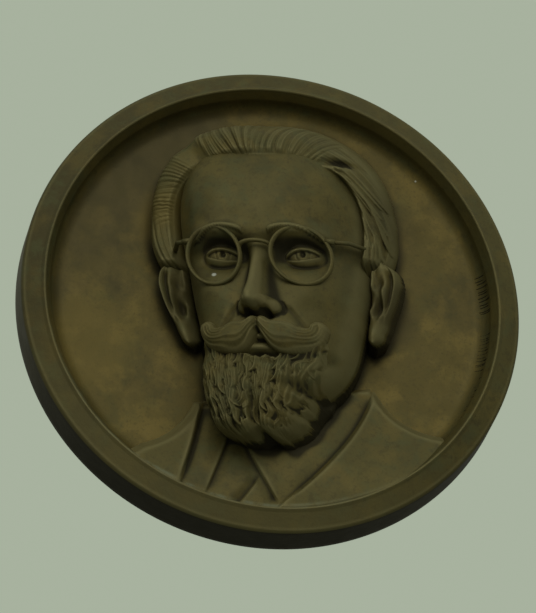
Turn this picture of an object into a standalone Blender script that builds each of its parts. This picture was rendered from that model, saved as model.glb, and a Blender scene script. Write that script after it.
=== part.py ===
"""Round cast-bronze portrait plaque: a dished disc with a raised rim and a bust in high relief.

The flat back lies in the plane y = 0 with the origin at its centre, and the front faces -Y.
A height is measured forward from the back plane. The figure is laid out in parts, 250 to the
height of its head, on the usual canon: eyes half way up, brow, nose base and chin at equal thirds.
"""

import math

import bmesh
import bpy
import numpy as np
from mathutils import Matrix, Vector

# Disc, in metres
plaque_diameter = 0.400
edge_depth = 0.035
rim_width = 0.019
rim_rise = 0.008
rim_bead = 0.0016
back_chamfer = 0.0015
edge_rounding = 0.003
field_height = 0.022
wall_slope = 0.004
cove_radius = 0.008
disc_steps = 96

# Figure, in metres
head_height = 0.250
head_right_of_centre = 0.011
chin_below_centre = 0.100
ear_height = 0.033
head_turn = math.radians(17)
turn_depth = 2.4
side_lead = 0.07
shoulder_rise = 0.005
chest_rise = 0.006
fold_step = 0.0025
coat_gap = 0.0015
coat_reach = 0.1905
sink = 0.012
root = 0.006

# Figure, in parts of the head's height
parts_to_head = 250
eye_line = 122
eye_apart = 33
brow_line = 138
nose_base = 67
mouth_line = 44
lens_radius = 23.5
lens_apart = 36
lens_line = 119
lens_depth = 41
lens_lean = math.radians(6)
lens_wrap = math.radians(9)
wire_radius = 1.7
side_piece_rise = 8
ear_apart = 84.5
ear_line = 93
hair_middle = (3, 152)
forehead_half = (84, 72)
forehead_rise = 58
hair_half = (110, 95)
hair_rise = (66, 100)
hair_low = 114
beard_off = -13
beard_low = -30
beard_edge = 12
face_edge = -3
hair_edge = -6
wall_edge = 0
steep = 12

# Mesh
head_grid = (150, 204)
coat_grid = (240, 84)
head_triangles = 5500
coat_triangles = 1400

part = head_height / parts_to_head
plaque_radius = plaque_diameter / 2
rim_inner_radius = plaque_radius - rim_width
rim_inner_height = edge_depth + rim_rise
wall_foot_radius = rim_inner_radius - wall_slope


# Small tools for carving

def ease(t):
    t = np.clip(t, 0, 1)
    return t * t * (3 - 2 * t)


def swell(u, v, at, half, rise):
    """A soft hill, or a hollow where rise is negative."""
    return rise * np.exp(-((u - at[0]) / half[0]) ** 2 - ((v - at[1]) / half[1]) ** 2)


def dome(u, v, at, half, rise):
    """Half an ellipsoid standing on its rim, and 0 outside it."""
    inside = 1 - ((u - at[0]) / half[0]) ** 2 - ((v - at[1]) / half[1]) ** 2
    return rise * np.sqrt(np.maximum(inside, 0))


def through(levels, values, at):
    """A smooth curve through values at rising levels, level where it ends."""
    levels = np.array(levels, float)
    values = np.array(values, float)
    slopes = np.gradient(values, levels)
    slopes[0] = slopes[-1] = 0
    at = np.clip(at, levels[0], levels[-1])
    i = np.clip(np.searchsorted(levels, at) - 1, 0, len(levels) - 2)
    gap = levels[i + 1] - levels[i]
    t = (at - levels[i]) / gap
    return ((2 * t ** 3 - 3 * t ** 2 + 1) * values[i] + (t ** 3 - 2 * t ** 2 + t) * gap * slopes[i]
            + (3 * t ** 2 - 2 * t ** 3) * values[i + 1] + (t ** 3 - t ** 2) * gap * slopes[i + 1])


def arc(start, bend, end, steps=8):
    """Points along a bend from start to end that leans towards the bend point."""
    t = np.linspace(0, 1, steps + 1)[:, None]
    start, bend, end = (np.array(p, float) for p in (start, bend, end))
    return (1 - t) ** 2 * start + 2 * t * (1 - t) * bend + t ** 2 * end


def along(u, v, path):
    """Distance of each point to a path, and how far along the path it is, from 0 to 1."""
    best = np.full(u.shape, np.inf)
    share = np.zeros(u.shape)
    for i in range(len(path) - 1):
        a = path[i]
        d = path[i + 1] - a
        t = np.clip(((u - a[0]) * d[0] + (v - a[1]) * d[1]) / max(d @ d, 1e-9), 0, 1)
        gap = np.hypot(u - a[0] - t * d[0], v - a[1] - t * d[1])
        nearer = gap < best
        best = np.where(nearer, gap, best)
        share = np.where(nearer, (i + t) / (len(path) - 1), share)
    return best, share


def lock(u, v, path, width, rise, tip=0.35):
    """A rounded lock of hair along a path, which narrows to tip of its width at the end."""
    gap, share = along(u, v, path)
    half = width * (1 - (1 - tip) * share ** 1.5)
    return rise * np.sqrt(np.maximum(1 - (gap / half) ** 2, 0))


def groove(u, v, path, width, depth):
    gap, share = along(u, v, path)
    return -depth * np.exp(-(gap / width) ** 2) * ease(5 * share) * ease(5 * (1 - share))


def bunches(across, flow, period, rise):
    """Rounded bunches of hair side by side, which waver along their flow."""
    wavy = across + 0.25 * period * np.sin(flow / 13 + across / (1.7 * period))
    return rise * np.abs(np.cos(math.pi * wavy / period)) ** 0.65


def inside_distance(x, z, outline):
    """Distance to a closed outline, positive inside it."""
    gap = along(x, z, np.vstack([outline, outline[:1]]))[0]
    inside = np.zeros(x.shape, bool)
    for a, b in zip(outline, np.roll(outline, -1, axis=0)):
        crosses = (a[1] > z) != (b[1] > z)
        reach = a[0] + (z - a[1]) * (b[0] - a[0]) / (b[1] - a[1] if b[1] != a[1] else 1e-9)
        inside ^= crosses & (x < reach)
    return np.where(inside, gap, -gap)


def over(amount):
    """How far past a limit, and 0 before it."""
    return np.maximum(amount, 0)


# Head, in parts: u to the viewer's right, v up from the chin, and the depth forward of the ears

def skull(u, v):
    half = through((-6, 4, 14, 32, 58, 92, 125, 150, 182, 212, 236, 252),
                   (16, 31, 43, 56, 65, 72, 77, 80, 79, 68, 46, 10), v)
    front = through((-8, 0, 10, 22, 34, 44, 60, 80, 110, 126, 138, 152, 176, 200, 222, 240, 252),
                    (4, 28, 39, 41, 37, 40, 41, 39, 37, 37, 42, 44, 43, 38, 29, 14, 0), v)
    across = np.clip(1 - np.abs(u / half) ** 3, 0, 1) ** 0.55
    past = over(np.abs(u) - half) + over(v - parts_to_head) + over(-6 - v)
    return face_edge + (front - face_edge) * across - steep * past


def features(u, v):
    """Nose, eyes, brows, cheeks and mouth, the same on both sides of the middle."""
    s = np.abs(u)
    form = swell(s, v, (45, 93), (20, 18), 3.6)
    form += swell(s, v, (eye_apart - 2, eye_line), (18, 11.5), -10)
    form += swell(s, v, (14, eye_line + 2), (6, 8), -3)
    form += swell(s, v, (eye_apart - 1, brow_line + 2), (22, 6.5), 5)
    form += swell(s, v, (eye_apart + 19, brow_line - 4), (8, 8), 2)
    form += swell(s, v, (64, 156), (9, 18), -2.2)
    bridge = through((nose_base - 5, nose_base + 3, nose_base + 10, nose_base + 24, 112, 124, 136),
                     (0, 15, 21.5, 17, 10, 6.5, 0), v)
    slack = through((nose_base, nose_base + 8, nose_base + 30, 112, 128), (9, 11.5, 8, 7.5, 11), v)
    form += bridge * np.exp(-(s / slack) ** 2.6)
    form += dome(s, v, (11.8, nose_base + 6.5), (6.2, 7.2), 7)
    form += swell(s, v, (6.8, nose_base), (3.6, 3), -6)
    form += swell(s, v, (0, mouth_line + 5), (10, 3.4), 2.5)
    form += swell(s, v, (0, mouth_line - 5), (13, 4), 4)
    form += groove(s, v, arc((18, nose_base + 11), (28, nose_base), (38, mouth_line + 6)), 3.2, 2)
    return form


def eyes(u, v):
    """The ball of each eye with an upper and a lower lid, an iris and a pupil."""
    s = np.abs(u)
    ball = dome(s, v, (eye_apart, eye_line), (14, 13), 9)
    gap = np.hypot(s - eye_apart, v - eye_line - 0.5)
    iris = -0.8 * np.exp(-((gap - 5.2) / 1.1) ** 2) - 2 * np.exp(-(gap / 2.1) ** 2)
    lids = 0 * u
    for lift, fold in ((7.5, 2.2), (-5.5, 1.6)):
        bend = (eye_apart + 1, eye_line + 2 * lift)
        line = arc((eye_apart - 15, eye_line - 2), bend, (eye_apart + 16, eye_line))
        lids = np.maximum(lids, lock(s, v, line, 2.6, fold, tip=0.8))
    return np.where(ball > 0, ball + iris, 0) * 0.75 + lids


def ear(u, v):
    """An ear beside the head: raised outer fold, hollow bowl and full lobe."""
    up = v - ear_line
    out = np.abs(u) - ear_apart - 0.12 * up
    half = through((-36, -33, -26, -12, 6, 20, 30, 35), (1.5, 5.5, 8, 9.5, 12, 12.5, 9, 2), up)
    bow = through((-36, -20, 0, 20, 35), (-4.5, -3, 0, 0.5, -2), up)
    across = (out - bow) / half
    form = 2 + 10 * np.sqrt(np.clip(1 - across ** 2, 0, 1)) + 0.1 * out
    fold = ease((up + 20) / 10) * np.where(across > 0, 1, ease((up - 8) / 8))
    form += 3.4 * np.exp(-((np.abs(across) - 0.8) / 0.2) ** 2) * fold
    form += swell(out, up, (-2.6, -4), (4.2, 10), -7)
    form += swell(out, up, (1, 13), (3.5, 6), -2.5)
    past = over(np.abs(out - bow) - half) + over(np.abs(up) - 35)
    return form - steep * past


def neck(u, v):
    """The little of the neck behind the beard."""
    return 6 - 0.004 * u ** 2 - steep * (over(np.abs(u - 4) - 46) + over(v - 28))


# Hair, in polar places about a middle on the forehead

def oval(angle, left, right, below, above, power):
    """Reach of a rounded four-sided oval with its own half sizes left, right, below and above."""
    wide = np.where(np.cos(angle) < 0, left, right)
    tall = np.where(np.sin(angle) < 0, below, above)
    return 1 / (np.abs(np.cos(angle) / wide) ** power
                + np.abs(np.sin(angle) / tall) ** power) ** (1 / power)


def hairline(angle):
    return oval(angle, *forehead_half, forehead_rise, forehead_rise, 2.7)


def hair_reach(angle):
    return oval(angle, *hair_half, *hair_rise, 2.25)


def polar(degrees, share):
    """A point between the hairline, at share 0, and the outline, at share 1."""
    angle = math.radians(degrees)
    reach = hairline(angle) * (1 - share) + hair_reach(angle) * share
    return hair_middle[0] + reach * math.cos(angle), hair_middle[1] + reach * math.sin(angle)


def hair(u, v):
    """Combed straight back on top, in short ribs on the left and swept down on the right."""
    angle = np.arctan2(v - hair_middle[1], u - hair_middle[0])
    reach = np.hypot(u - hair_middle[0], v - hair_middle[1])
    inner = hairline(angle)
    outer = hair_reach(angle)
    share = np.clip((reach - inner) / (outer - inner), 0, 1)
    crown = np.clip(np.sin(angle), 0, 1) ** 1.5
    brim = 15 + 20.5 * crown
    turned = ease(0.5 - 1.6 * np.cos(angle))
    roundness = 2.2 + 2.5 * ease(-1.5 * np.cos(angle))
    form = hair_edge + (brim - hair_edge) * (1 - share ** roundness) ** 0.6
    form += 2.8 * ease(share * 6) * (1 - 0.7 * share) * (0.25 + 0.75 * turned)
    degrees = np.degrees(angle) % 360
    degrees = np.where(degrees > 270, degrees - 360, degrees)
    top = bunches(1.5 * degrees, 25 * share, 13, 2.6)
    left = bunches(1.6 * degrees - 7 * share, degrees, 11, 1.6)
    right = bunches(27 * share + 0.25 * degrees, 1.5 * degrees, 9, 3.4)
    locks = top * ease((degrees - 49) / 6) * ease((129 - degrees) / 4)
    locks += left * ease((degrees - 138) / 5) * ease((200 - degrees) / 10)
    locks += right * ease((56 - degrees) / 8)
    form += locks * ease(share * 5 + 0.2 * turned)
    form += groove(u, v, arc(polar(133, -0.5), polar(133, 0.4), polar(133, 1.5)), 7, 3.2)
    form += groove(u, v, arc((53, 203), (64, 213), (76, 201)), 2.6, 7)
    form -= 14 * ease((hair_low + 14 - v) / 14)
    past = 0.4 * over(inner - reach) + over(reach - outer) + over(hair_low - v)
    return form - steep * past


def moustache(u, v):
    """Two full sweeps from the parting, with turned-up round ends."""
    s = np.where(u > 0, u / 0.93, -u)
    sweep = np.vstack([arc((3, mouth_line + 15), (18, mouth_line + 3), (33, mouth_line + 5)),
                       arc((33, mouth_line + 5), (45, mouth_line + 7), (48.5, mouth_line + 15))[1:]])
    gap, share = along(s, v, sweep)
    half = through((0, 0.3, 0.7, 1), (7, 12.5, 9.5, 5), share)
    body = np.sqrt(np.clip(1 - (gap / half) ** 2, 0, 1))
    base = through((0, 30, 52), (43, 39, 34), s)
    return base + 9 * body - 4 * np.exp(-(s / 1.8) ** 2) - steep * over(gap - half)


def beard(u, v):
    """A short full beard on the chin, in waved locks, parted and undercut below."""
    off = u - beard_off
    half = through((-31, -25, -10, 8, 30, 48), (20, 32, 42, 47, 49, 47), v)
    front = through((-31, -27, -16, 0, 24, 44), (22, 33, 41, 45, 42, 37), v)
    across = np.clip(1 - np.abs(off / half) ** 3, 0, 1) ** 0.5
    form = beard_edge + (front - beard_edge) * across
    wave = 3.2 * np.sin(v / 6.2 + 1.4 * np.sin(off / 8.5))
    form += bunches(off * (1 + 0.006 * (48 - v)) + wave, v, 11, 4.5)
    notch = np.exp(-((u + 1) / 6) ** 2)
    form -= 6 * notch * ease((8 - v) / 24)
    top = 31 + 19 * ease((np.abs(u) - 10) / 20)
    past = over(np.abs(off) - half) + over(beard_low + 5 * notch - v) + 0.4 * over(v - top)
    return form - steep * past


def head(u, v):
    form = skull(u, v) + features(u, v) + eyes(u, v)
    for other in (hair, ear, neck, beard, moustache):
        form = np.maximum(form, other(u, v))
    return form


# Coat, in parts across and above the disc's middle, and its height in metres

def coat_outline():
    left = arc((-64, -86), (-78, -116), (-108, -125))
    right = arc((80, -66), (92, -102), (126, -110))
    low = ((146, -114), (230, -120), (230, -260), (-230, -260), (-230, -142), (-126, -136))
    return np.vstack([right, low, left[::-1]])


def rim_top(reach):
    return rim_inner_height - rim_rise * (reach - rim_inner_radius) / rim_width


def coat(x, z):
    """Height of the coat over the back plane: low at the shoulders, level with the rim below."""
    reach = np.hypot(x, z) * part
    level = field_height + shoulder_rise
    lift = ease((-z - 84) / 84)
    height = level + (rim_inner_height - coat_gap - level) * lift
    height += chest_rise * np.exp(-((x + 4) / 60) ** 2 - ((z + 112) / 36) ** 2)
    jacket_left = arc((-60, -66), (-67, -120), (-81, -150)), arc((-81, -150), (-82, -170), (-80, -195))
    jacket_right = arc((83, -66), (70, -118), (14, -164)), arc((14, -164), (0, -176), (-16, -190))
    opening = np.vstack([jacket_left[0], jacket_left[1][1:], jacket_right[1][::-1],
                         jacket_right[0][::-1][1:]])
    height -= fold_step * ease(inside_distance(x, z, opening) / 2.5)
    tie = np.array(((-44, -128), (-29, -128), (-19, -152), (-36, -176), (-62, -174)))
    height += 0.5 * fold_step * ease(inside_distance(x, z, tie) / 2)
    creases = (((-44, -126), (-50, -150), (-60, -172)), ((-30, -126), (-22, -146), (-9, -172)),
               ((-19, -154), (-26, -164), (-36, -176)))
    for start, bend, end in creases:
        height += part * groove(x, z, arc(start, bend, end, 4), 1.6, 2.4)
    for side in jacket_left + jacket_right[:1]:
        height += part * groove(x, z, side, 1.6, 1.6)
    height -= part * steep * over(-inside_distance(x, z, coat_outline()))
    height = np.minimum(height, rim_top(reach) - coat_gap)
    return height - steep * over(reach - coat_reach)


# Making

def new_material(name, color, roughness, metallic):
    material = bpy.data.materials.new(name)
    material.use_nodes = True
    shader = material.node_tree.nodes["Principled BSDF"]
    shader.inputs["Base Color"].default_value = (*color, 1)
    shader.inputs["Roughness"].default_value = roughness
    shader.inputs["Metallic"].default_value = metallic
    return material


def add_object(name, mesh, collection, hidden=False):
    thing = bpy.data.objects.new(name, mesh)
    collection.objects.link(thing)
    if hidden:
        thing.hide_render = True
        thing.display_type = "WIRE"
    return thing


def make_disc(collection):
    """The turned disc: back, edge, sloping rim with its bead, inner wall, cove and field."""
    quarter = [math.radians(45 * i) for i in range(3)]
    points = [(0, 0), (plaque_radius - back_chamfer, 0), (plaque_radius, back_chamfer)]
    points += [(plaque_radius - edge_rounding * (1 - math.cos(a)),
                edge_depth - edge_rounding * (1 - math.sin(a))) for a in quarter]
    points.append((rim_inner_radius + 2 * rim_bead, rim_inner_height - rim_bead))
    points.append((rim_inner_radius + rim_bead, rim_inner_height))
    points.append((rim_inner_radius, rim_inner_height - rim_bead))
    points += [(wall_foot_radius - cove_radius * (1 - math.cos(a)),
                field_height + cove_radius * (1 - math.sin(a))) for a in quarter]
    points.append((0, field_height))
    mesh = bpy.data.meshes.new("disc_profile")
    mesh.from_pydata([(r, -h, 0) for r, h in points], [(i, i + 1) for i in range(len(points) - 1)], [])
    disc = add_object("portrait_plaque", mesh, collection)
    turn = disc.modifiers.new("turn", "SCREW")
    turn.axis = "Y"
    turn.steps = turn.render_steps = disc_steps
    turn.use_merge_vertices = True
    turn.merge_threshold = 0.00001
    turn.use_normal_calculate = True
    return disc


def relief_solid(name, segments, low, high, surface, edge, matrix, collection, triangles):
    """A closed solid under a relief surface: a grid kept where the surface stands over the sink
    plane and raised to it, then placed by matrix. Below the edge depth its walls go straight
    back, to a level root inside the disc, and a modifier thins its mesh."""
    bm = bmesh.new()
    bmesh.ops.create_grid(bm, x_segments=segments[0], y_segments=segments[1], size=0.5)
    middle = (Vector(low) + Vector(high)) / 2
    span = Vector(high) - Vector(low)
    for vert in bm.verts:
        vert.co = (middle.x + vert.co.x * span.x, 0, middle.y + vert.co.y * span.y)
    places = np.array([vert.co for vert in bm.verts])
    depth = surface(places[:, 0], places[:, 2])
    floor = (sink + matrix[1][3]) / part + matrix[1][0] * places[:, 0]
    shown = {vert for vert, up in zip(bm.verts, depth > floor) if up}
    idle = [face for face in bm.faces if shown.isdisjoint(face.verts)]
    for vert, y in zip(bm.verts, np.maximum(depth, floor)):
        vert.co.y = -y
    bmesh.ops.delete(bm, geom=idle, context="FACES")
    below = bm.verts[:]
    bmesh.ops.extrude_face_region(bm, geom=bm.faces[:], use_keep_orig=True)
    for vert in bm.verts:
        front = matrix @ (part * Vector((vert.co.x, min(vert.co.y, -edge), vert.co.z)))
        vert.co = (front.x, (matrix @ (part * vert.co)).y, front.z)
    for vert in below:
        vert.co.y = -root
    bmesh.ops.recalc_face_normals(bm, faces=bm.faces)
    bmesh.ops.triangulate(bm, faces=bm.faces)
    count = len(bm.faces)
    mesh = bpy.data.meshes.new(name)
    bm.to_mesh(mesh)
    bm.free()
    thing = add_object(name, mesh, collection, hidden=True)
    thin = thing.modifiers.new("thin", "DECIMATE")
    thin.ratio = triangles / count
    return thing


def head_to_plaque():
    """Turns, leans and places the head: local +X right, -Y forward of the ears, +Z up from the chin."""
    return Matrix(((math.cos(head_turn), turn_depth * math.sin(head_turn), 0, head_right_of_centre),
                   (-side_lead, 1, 0, -ear_height),
                   (0, 0, 1, -chin_below_centre),
                   (0, 0, 0, 1)))


def make_head(collection):
    return relief_solid("head", head_grid, (-114, -42), (108, 258), head, wall_edge,
                        head_to_plaque(), collection, head_triangles)


def make_coat(collection):
    return relief_solid("coat", coat_grid, (-196, -192), (196, -58),
                        lambda x, z: coat(x, z) / part, sink / part, Matrix(), collection, coat_triangles)


def wire(name, points, collection):
    """A round wire through points of the head, made a closed mesh."""
    curve = bpy.data.curves.new(name, "CURVE")
    curve.dimensions = "3D"
    curve.bevel_depth = wire_radius
    curve.bevel_resolution = 1
    curve.use_fill_caps = True
    spline = curve.splines.new("POLY")
    spline.points.add(len(points) - 1)
    for point, (u, v, depth) in zip(spline.points, points):
        point.co = (u, -depth, v, 1)
    drawn = add_object(name + "_path", curve, collection)
    mesh = bpy.data.meshes.new_from_object(drawn.evaluated_get(bpy.context.evaluated_depsgraph_get()))
    bpy.data.objects.remove(drawn)
    bm = bmesh.new()
    bm.from_mesh(mesh)
    bmesh.ops.remove_doubles(bm, verts=bm.verts, dist=0.001)
    bm.to_mesh(mesh)
    bm.free()
    return mesh


def make_spectacles(collection):
    """Two wire rings that lean with the face, the bridge between them and a side to each ear."""
    meshes = []
    for side, hand in ((-1, "left"), (1, "right")):
        bpy.ops.mesh.primitive_torus_add(major_segments=30, minor_segments=6,
                                         major_radius=lens_radius, minor_radius=wire_radius)
        ring = bpy.context.object
        place = Matrix.Translation((side * lens_apart, -lens_depth, lens_line))
        lean = Matrix.Rotation(side * lens_wrap, 4, "Z") @ Matrix.Rotation(math.pi / 2 + lens_lean, 4, "X")
        mesh = ring.data
        mesh.transform(place @ lean)
        bpy.data.objects.remove(ring)
        mesh.name = "ring_" + hand
        meshes.append(mesh)
        hinge = side * (lens_apart + lens_radius - 1)
        back = lens_depth - (lens_radius - 1) * math.sin(lens_wrap)
        level = lens_line + side_piece_rise
        points = [(hinge, level, back), (side * 70, level + 1, back - 9), (side * ear_apart, level, 8)]
        meshes.append(wire("side_" + hand, points, collection))
    reach = lens_apart - lens_radius + 1
    arch = [(reach * math.cos(a), lens_line + 3 + 5 * math.sin(a), lens_depth + 2 + 3 * math.sin(a))
            for a in np.linspace(0, math.pi, 7)]
    meshes.append(wire("bridge", arch, collection))
    things = []
    for mesh in meshes:
        mesh.transform(head_to_plaque() @ Matrix.Scale(part, 4))
        things.append(add_object(mesh.name, mesh, collection, hidden=True))
    return things


def main():
    for thing in list(bpy.data.objects):
        bpy.data.objects.remove(thing)
    plaque_parts = bpy.data.collections.new("portrait_plaque")
    cutters = bpy.data.collections.new("cutters")
    for collection in (plaque_parts, cutters):
        bpy.context.scene.collection.children.link(collection)
    disc = make_disc(plaque_parts)
    disc.data.materials.append(new_material("bronze", (0.11, 0.085, 0.045), 0.45, 0.8))
    for thing in [make_coat(cutters), make_head(cutters)] + make_spectacles(cutters):
        join = disc.modifiers.new("join_" + thing.name, "BOOLEAN")
        join.operation = "UNION"
        join.solver = "EXACT"
        join.object = thing


main()
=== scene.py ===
import math

import bmesh
import bpy
import numpy as np
from mathutils import Matrix, Vector


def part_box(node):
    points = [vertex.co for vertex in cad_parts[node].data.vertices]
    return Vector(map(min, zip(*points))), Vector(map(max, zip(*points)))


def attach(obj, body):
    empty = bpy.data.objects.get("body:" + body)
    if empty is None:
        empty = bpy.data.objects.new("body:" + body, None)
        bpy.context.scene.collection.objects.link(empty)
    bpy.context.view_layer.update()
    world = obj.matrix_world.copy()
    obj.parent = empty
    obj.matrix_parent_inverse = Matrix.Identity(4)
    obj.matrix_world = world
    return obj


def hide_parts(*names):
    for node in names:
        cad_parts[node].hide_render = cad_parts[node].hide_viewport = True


# Round bronze portrait plaque: back flat at y = 0, front towards -Y, height measured forward.
# The figure is laid out in parts, 250 to the head, and one part is a millimetre at full size.

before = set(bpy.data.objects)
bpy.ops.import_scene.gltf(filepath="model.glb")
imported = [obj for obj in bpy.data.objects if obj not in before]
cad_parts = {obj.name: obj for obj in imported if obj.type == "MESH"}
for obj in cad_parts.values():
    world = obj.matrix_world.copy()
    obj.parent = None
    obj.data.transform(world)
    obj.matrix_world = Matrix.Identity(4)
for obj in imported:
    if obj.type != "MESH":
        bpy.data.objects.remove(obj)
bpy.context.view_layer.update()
plaqueLow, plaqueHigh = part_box("portrait_plaque")
plaqueRadius = (plaqueHigh[0] - plaqueLow[0]) / 2
part = plaqueRadius / 200


# Carving tools: plain arithmetic on arrays of places

def ease(t):
    t = np.clip(t, 0, 1)
    return t * t * (3 - 2 * t)


def swell(u, v, at, half, rise):  # soft hill, or hollow where rise is negative
    return rise * np.exp(-((u - at[0]) / half[0]) ** 2 - ((v - at[1]) / half[1]) ** 2)


def dome(u, v, at, half, rise):  # half an ellipsoid on its rim
    inside = 1 - ((u - at[0]) / half[0]) ** 2 - ((v - at[1]) / half[1]) ** 2
    return rise * np.sqrt(np.maximum(inside, 0))


def blendMax(a, b, soft):  # the higher surface, with a fillet
    mix = np.clip(0.5 + 0.5 * (a - b) / soft, 0, 1)
    return a * mix + b * (1 - mix) + soft * mix * (1 - mix)


def through(levels, values, at):  # smooth curve through values at rising levels
    levels = np.array(levels, float)
    values = np.array(values, float)
    slopes = np.gradient(values, levels)
    slopes[0] = slopes[-1] = 0
    at = np.clip(at, levels[0], levels[-1])
    i = np.clip(np.searchsorted(levels, at) - 1, 0, len(levels) - 2)
    gap = levels[i + 1] - levels[i]
    t = (at - levels[i]) / gap
    return ((2 * t ** 3 - 3 * t ** 2 + 1) * values[i] + (t ** 3 - 2 * t ** 2 + t) * gap * slopes[i]
            + (3 * t ** 2 - 2 * t ** 3) * values[i + 1] + (t ** 3 - t ** 2) * gap * slopes[i + 1])


def arc(start, bend, end, steps=8):
    t = np.linspace(0, 1, steps + 1)[:, None]
    start, bend, end = (np.array(p, float) for p in (start, bend, end))
    return (1 - t) ** 2 * start + 2 * t * (1 - t) * bend + t ** 2 * end


def curl(start, bendA, bendB, end, steps=10):  # S-shaped or hooked path
    t = np.linspace(0, 1, steps + 1)[:, None]
    a, b, c, d = (np.array(p, float) for p in (start, bendA, bendB, end))
    return (1 - t) ** 3 * a + 3 * t * (1 - t) ** 2 * b + 3 * t ** 2 * (1 - t) * c + t ** 3 * d


def along(u, v, path):  # signed distance to a path and the share of it passed
    best = np.full(u.shape, np.inf)
    share = np.zeros(u.shape)
    side = np.ones(u.shape)
    for i in range(len(path) - 1):
        a = path[i]
        d = path[i + 1] - a
        pu = u - a[0]
        pv = v - a[1]
        t = np.clip((pu * d[0] + pv * d[1]) / max(d @ d, 1e-9), 0, 1)
        gap = np.hypot(pu - t * d[0], pv - t * d[1])
        nearer = gap < best
        best = np.where(nearer, gap, best)
        share = np.where(nearer, (i + t) / (len(path) - 1), share)
        side = np.where(nearer, np.sign(d[0] * pv - d[1] * pu + 1e-9), side)
    return best * side, share


def nearPath(u, v, path, reach):  # places within reach of a path's box
    low = path.min(axis=0) - reach
    high = path.max(axis=0) + reach
    return np.flatnonzero((u > low[0]) & (u < high[0]) & (v > low[1]) & (v < high[1]))


def carveLock(form, u, v, path, width, rise, tip=0.4, strand=0.0, pitch=2.4, root=0.5, crisp=0.5):
    # raises one lock in form: round across, fine strands along, narrower at both ends
    near = nearPath(u, v, path, width)
    if not near.size:
        return
    gap, share = along(u[near], v[near], path)
    half = width * (root + (1 - root) * ease(share * 3)) * (1 - (1 - tip) * share ** 2)
    body = np.clip(1 - (gap / half) ** 2, 0, 1) ** crisp
    lift = body * (rise * (0.55 + 0.45 * ease(share * 4)) + strand * np.cos(gap * pitch + 1.5 * share))
    form[near] = np.maximum(form[near], lift)


def groove(u, v, path, width, depth, fade=5):
    form = np.zeros(u.shape)
    near = nearPath(u, v, path, 3 * width)
    if near.size:
        gap, share = along(u[near], v[near], path)
        form[near] = -depth * np.exp(-(gap / width) ** 2) * ease(fade * share) * ease(fade * (1 - share))
    return form


def insideDistance(x, z, outline):  # distance to a closed outline, positive inside
    gap = np.abs(along(x, z, np.vstack([outline, outline[:1]]))[0])
    inside = np.zeros(x.shape, bool)
    for a, b in zip(outline, np.roll(outline, -1, axis=0)):
        crosses = (a[1] > z) != (b[1] > z)
        reach = a[0] + (z - a[1]) * (b[0] - a[0]) / (b[1] - a[1] if b[1] != a[1] else 1e-9)
        inside ^= crosses & (x < reach)
    return np.where(inside, gap, -gap)


def unevenness(x, z, scale, seed):  # slow hand-made waviness from a few sines, about -1 to 1
    draws = np.random.default_rng(seed)
    total = np.zeros(x.shape)
    sines = 7
    for i in range(sines):
        heading = draws.uniform(0, math.tau)
        stretch = scale * draws.uniform(0.6, 1.8)
        start = draws.uniform(0, math.tau)
        total += np.sin((x * math.cos(heading) + z * math.sin(heading)) / stretch + start)
    return total / (sines / 2)


# Face: u to the viewer's right, v up from the chin, depth forward of the ears, all in parts

face = {
    "grid": 0.72,                                # spacing of the mesh
    "low": (-88, -12), "high": (88, 254),        # corners of the mesh
    "cut": -8,                                   # depth at which the carved front ends
    "eyeLine": 122, "eyeApart": 33, "eyeWide": 15, "eyeOpen": 5.0,
    "browLine": 138, "browHairs": 17, "noseBase": 67, "mouthLine": 44,
    "skullLow": -6, "skullHigh": 250,
    "steep": 12,                                 # how fast a form falls off past its outline
}


def skullForm(u, v):
    half = through((-6, 4, 14, 32, 58, 92, 125, 150, 182, 212, 236, 252),
                   (16, 31, 43, 56, 65, 72, 77, 80, 79, 68, 46, 10), v)
    front = through((-8, 0, 10, 22, 34, 44, 60, 80, 110, 126, 138, 152, 176, 200, 222, 240, 252),
                    (4, 28, 39, 41, 37, 40, 41, 39, 37, 37, 42, 44, 43, 38, 29, 14, 0), v)
    across = np.clip(1 - np.abs(u / half) ** 3, 0, 1) ** 0.55
    past = np.maximum(np.abs(u) - half, 0)
    past = past + np.maximum(v - face["skullHigh"], 0) + np.maximum(face["skullLow"] - v, 0)
    return -3 + (front + 3) * across - face["steep"] * past


def eyeForm(s, v, form):
    # lids over a ball, an almond opening, and the iris and pupil cut in
    line, apart = face["eyeLine"], face["eyeApart"]
    ball = 25.5 + dome(s, v, (apart, line + 0.5), (17.5, 14.5), 9.5)
    form = np.where(ball > 25.6, blendMax(form, ball, 1.6), form)
    across = (s - apart + 0.5) / face["eyeWide"]
    arch = np.clip(1 - across ** 2, 0, 1)
    upper = line - 0.6 + 1.2 * across + (face["eyeOpen"] + 0.8) * arch ** 0.8
    lower = line - 0.6 + 1.2 * across - (face["eyeOpen"] - 1.6) * arch ** 0.9
    opening = ease(np.minimum(upper - v, v - lower) / 1.1) * (arch > 0)
    form = form - 1.9 * opening
    form = form + 0.7 * np.exp(-((v - upper - 0.9) / 1.0) ** 2) * ease(arch * 4)      # edges of the lids
    form = form + 0.45 * np.exp(-((v - lower + 0.8) / 0.9) ** 2) * ease(arch * 4)
    gap = np.hypot(s - apart, v - line - 1.6)
    iris = -0.55 * np.exp(-((gap - 5.7) / 0.55) ** 2) - 2.2 * ease((2.6 - gap) / 1.0)
    glint = 1.5 * np.exp(-((s - apart + 0.6) / 0.9) ** 2 - ((v - line - 2.4) / 0.9) ** 2)
    form = form + (iris + glint) * opening
    upperCrease = arc((apart - 16, line + 2.5), (apart - 1, line + 19), (apart + 19, line + 3))
    lowerCrease = arc((apart - 14, line - 6), (apart + 1, line - 15), (apart + 15, line - 5))
    return form + groove(s, v, upperCrease, 1.3, 1.7) + groove(s, v, lowerCrease, 1.8, 0.9)


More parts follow.
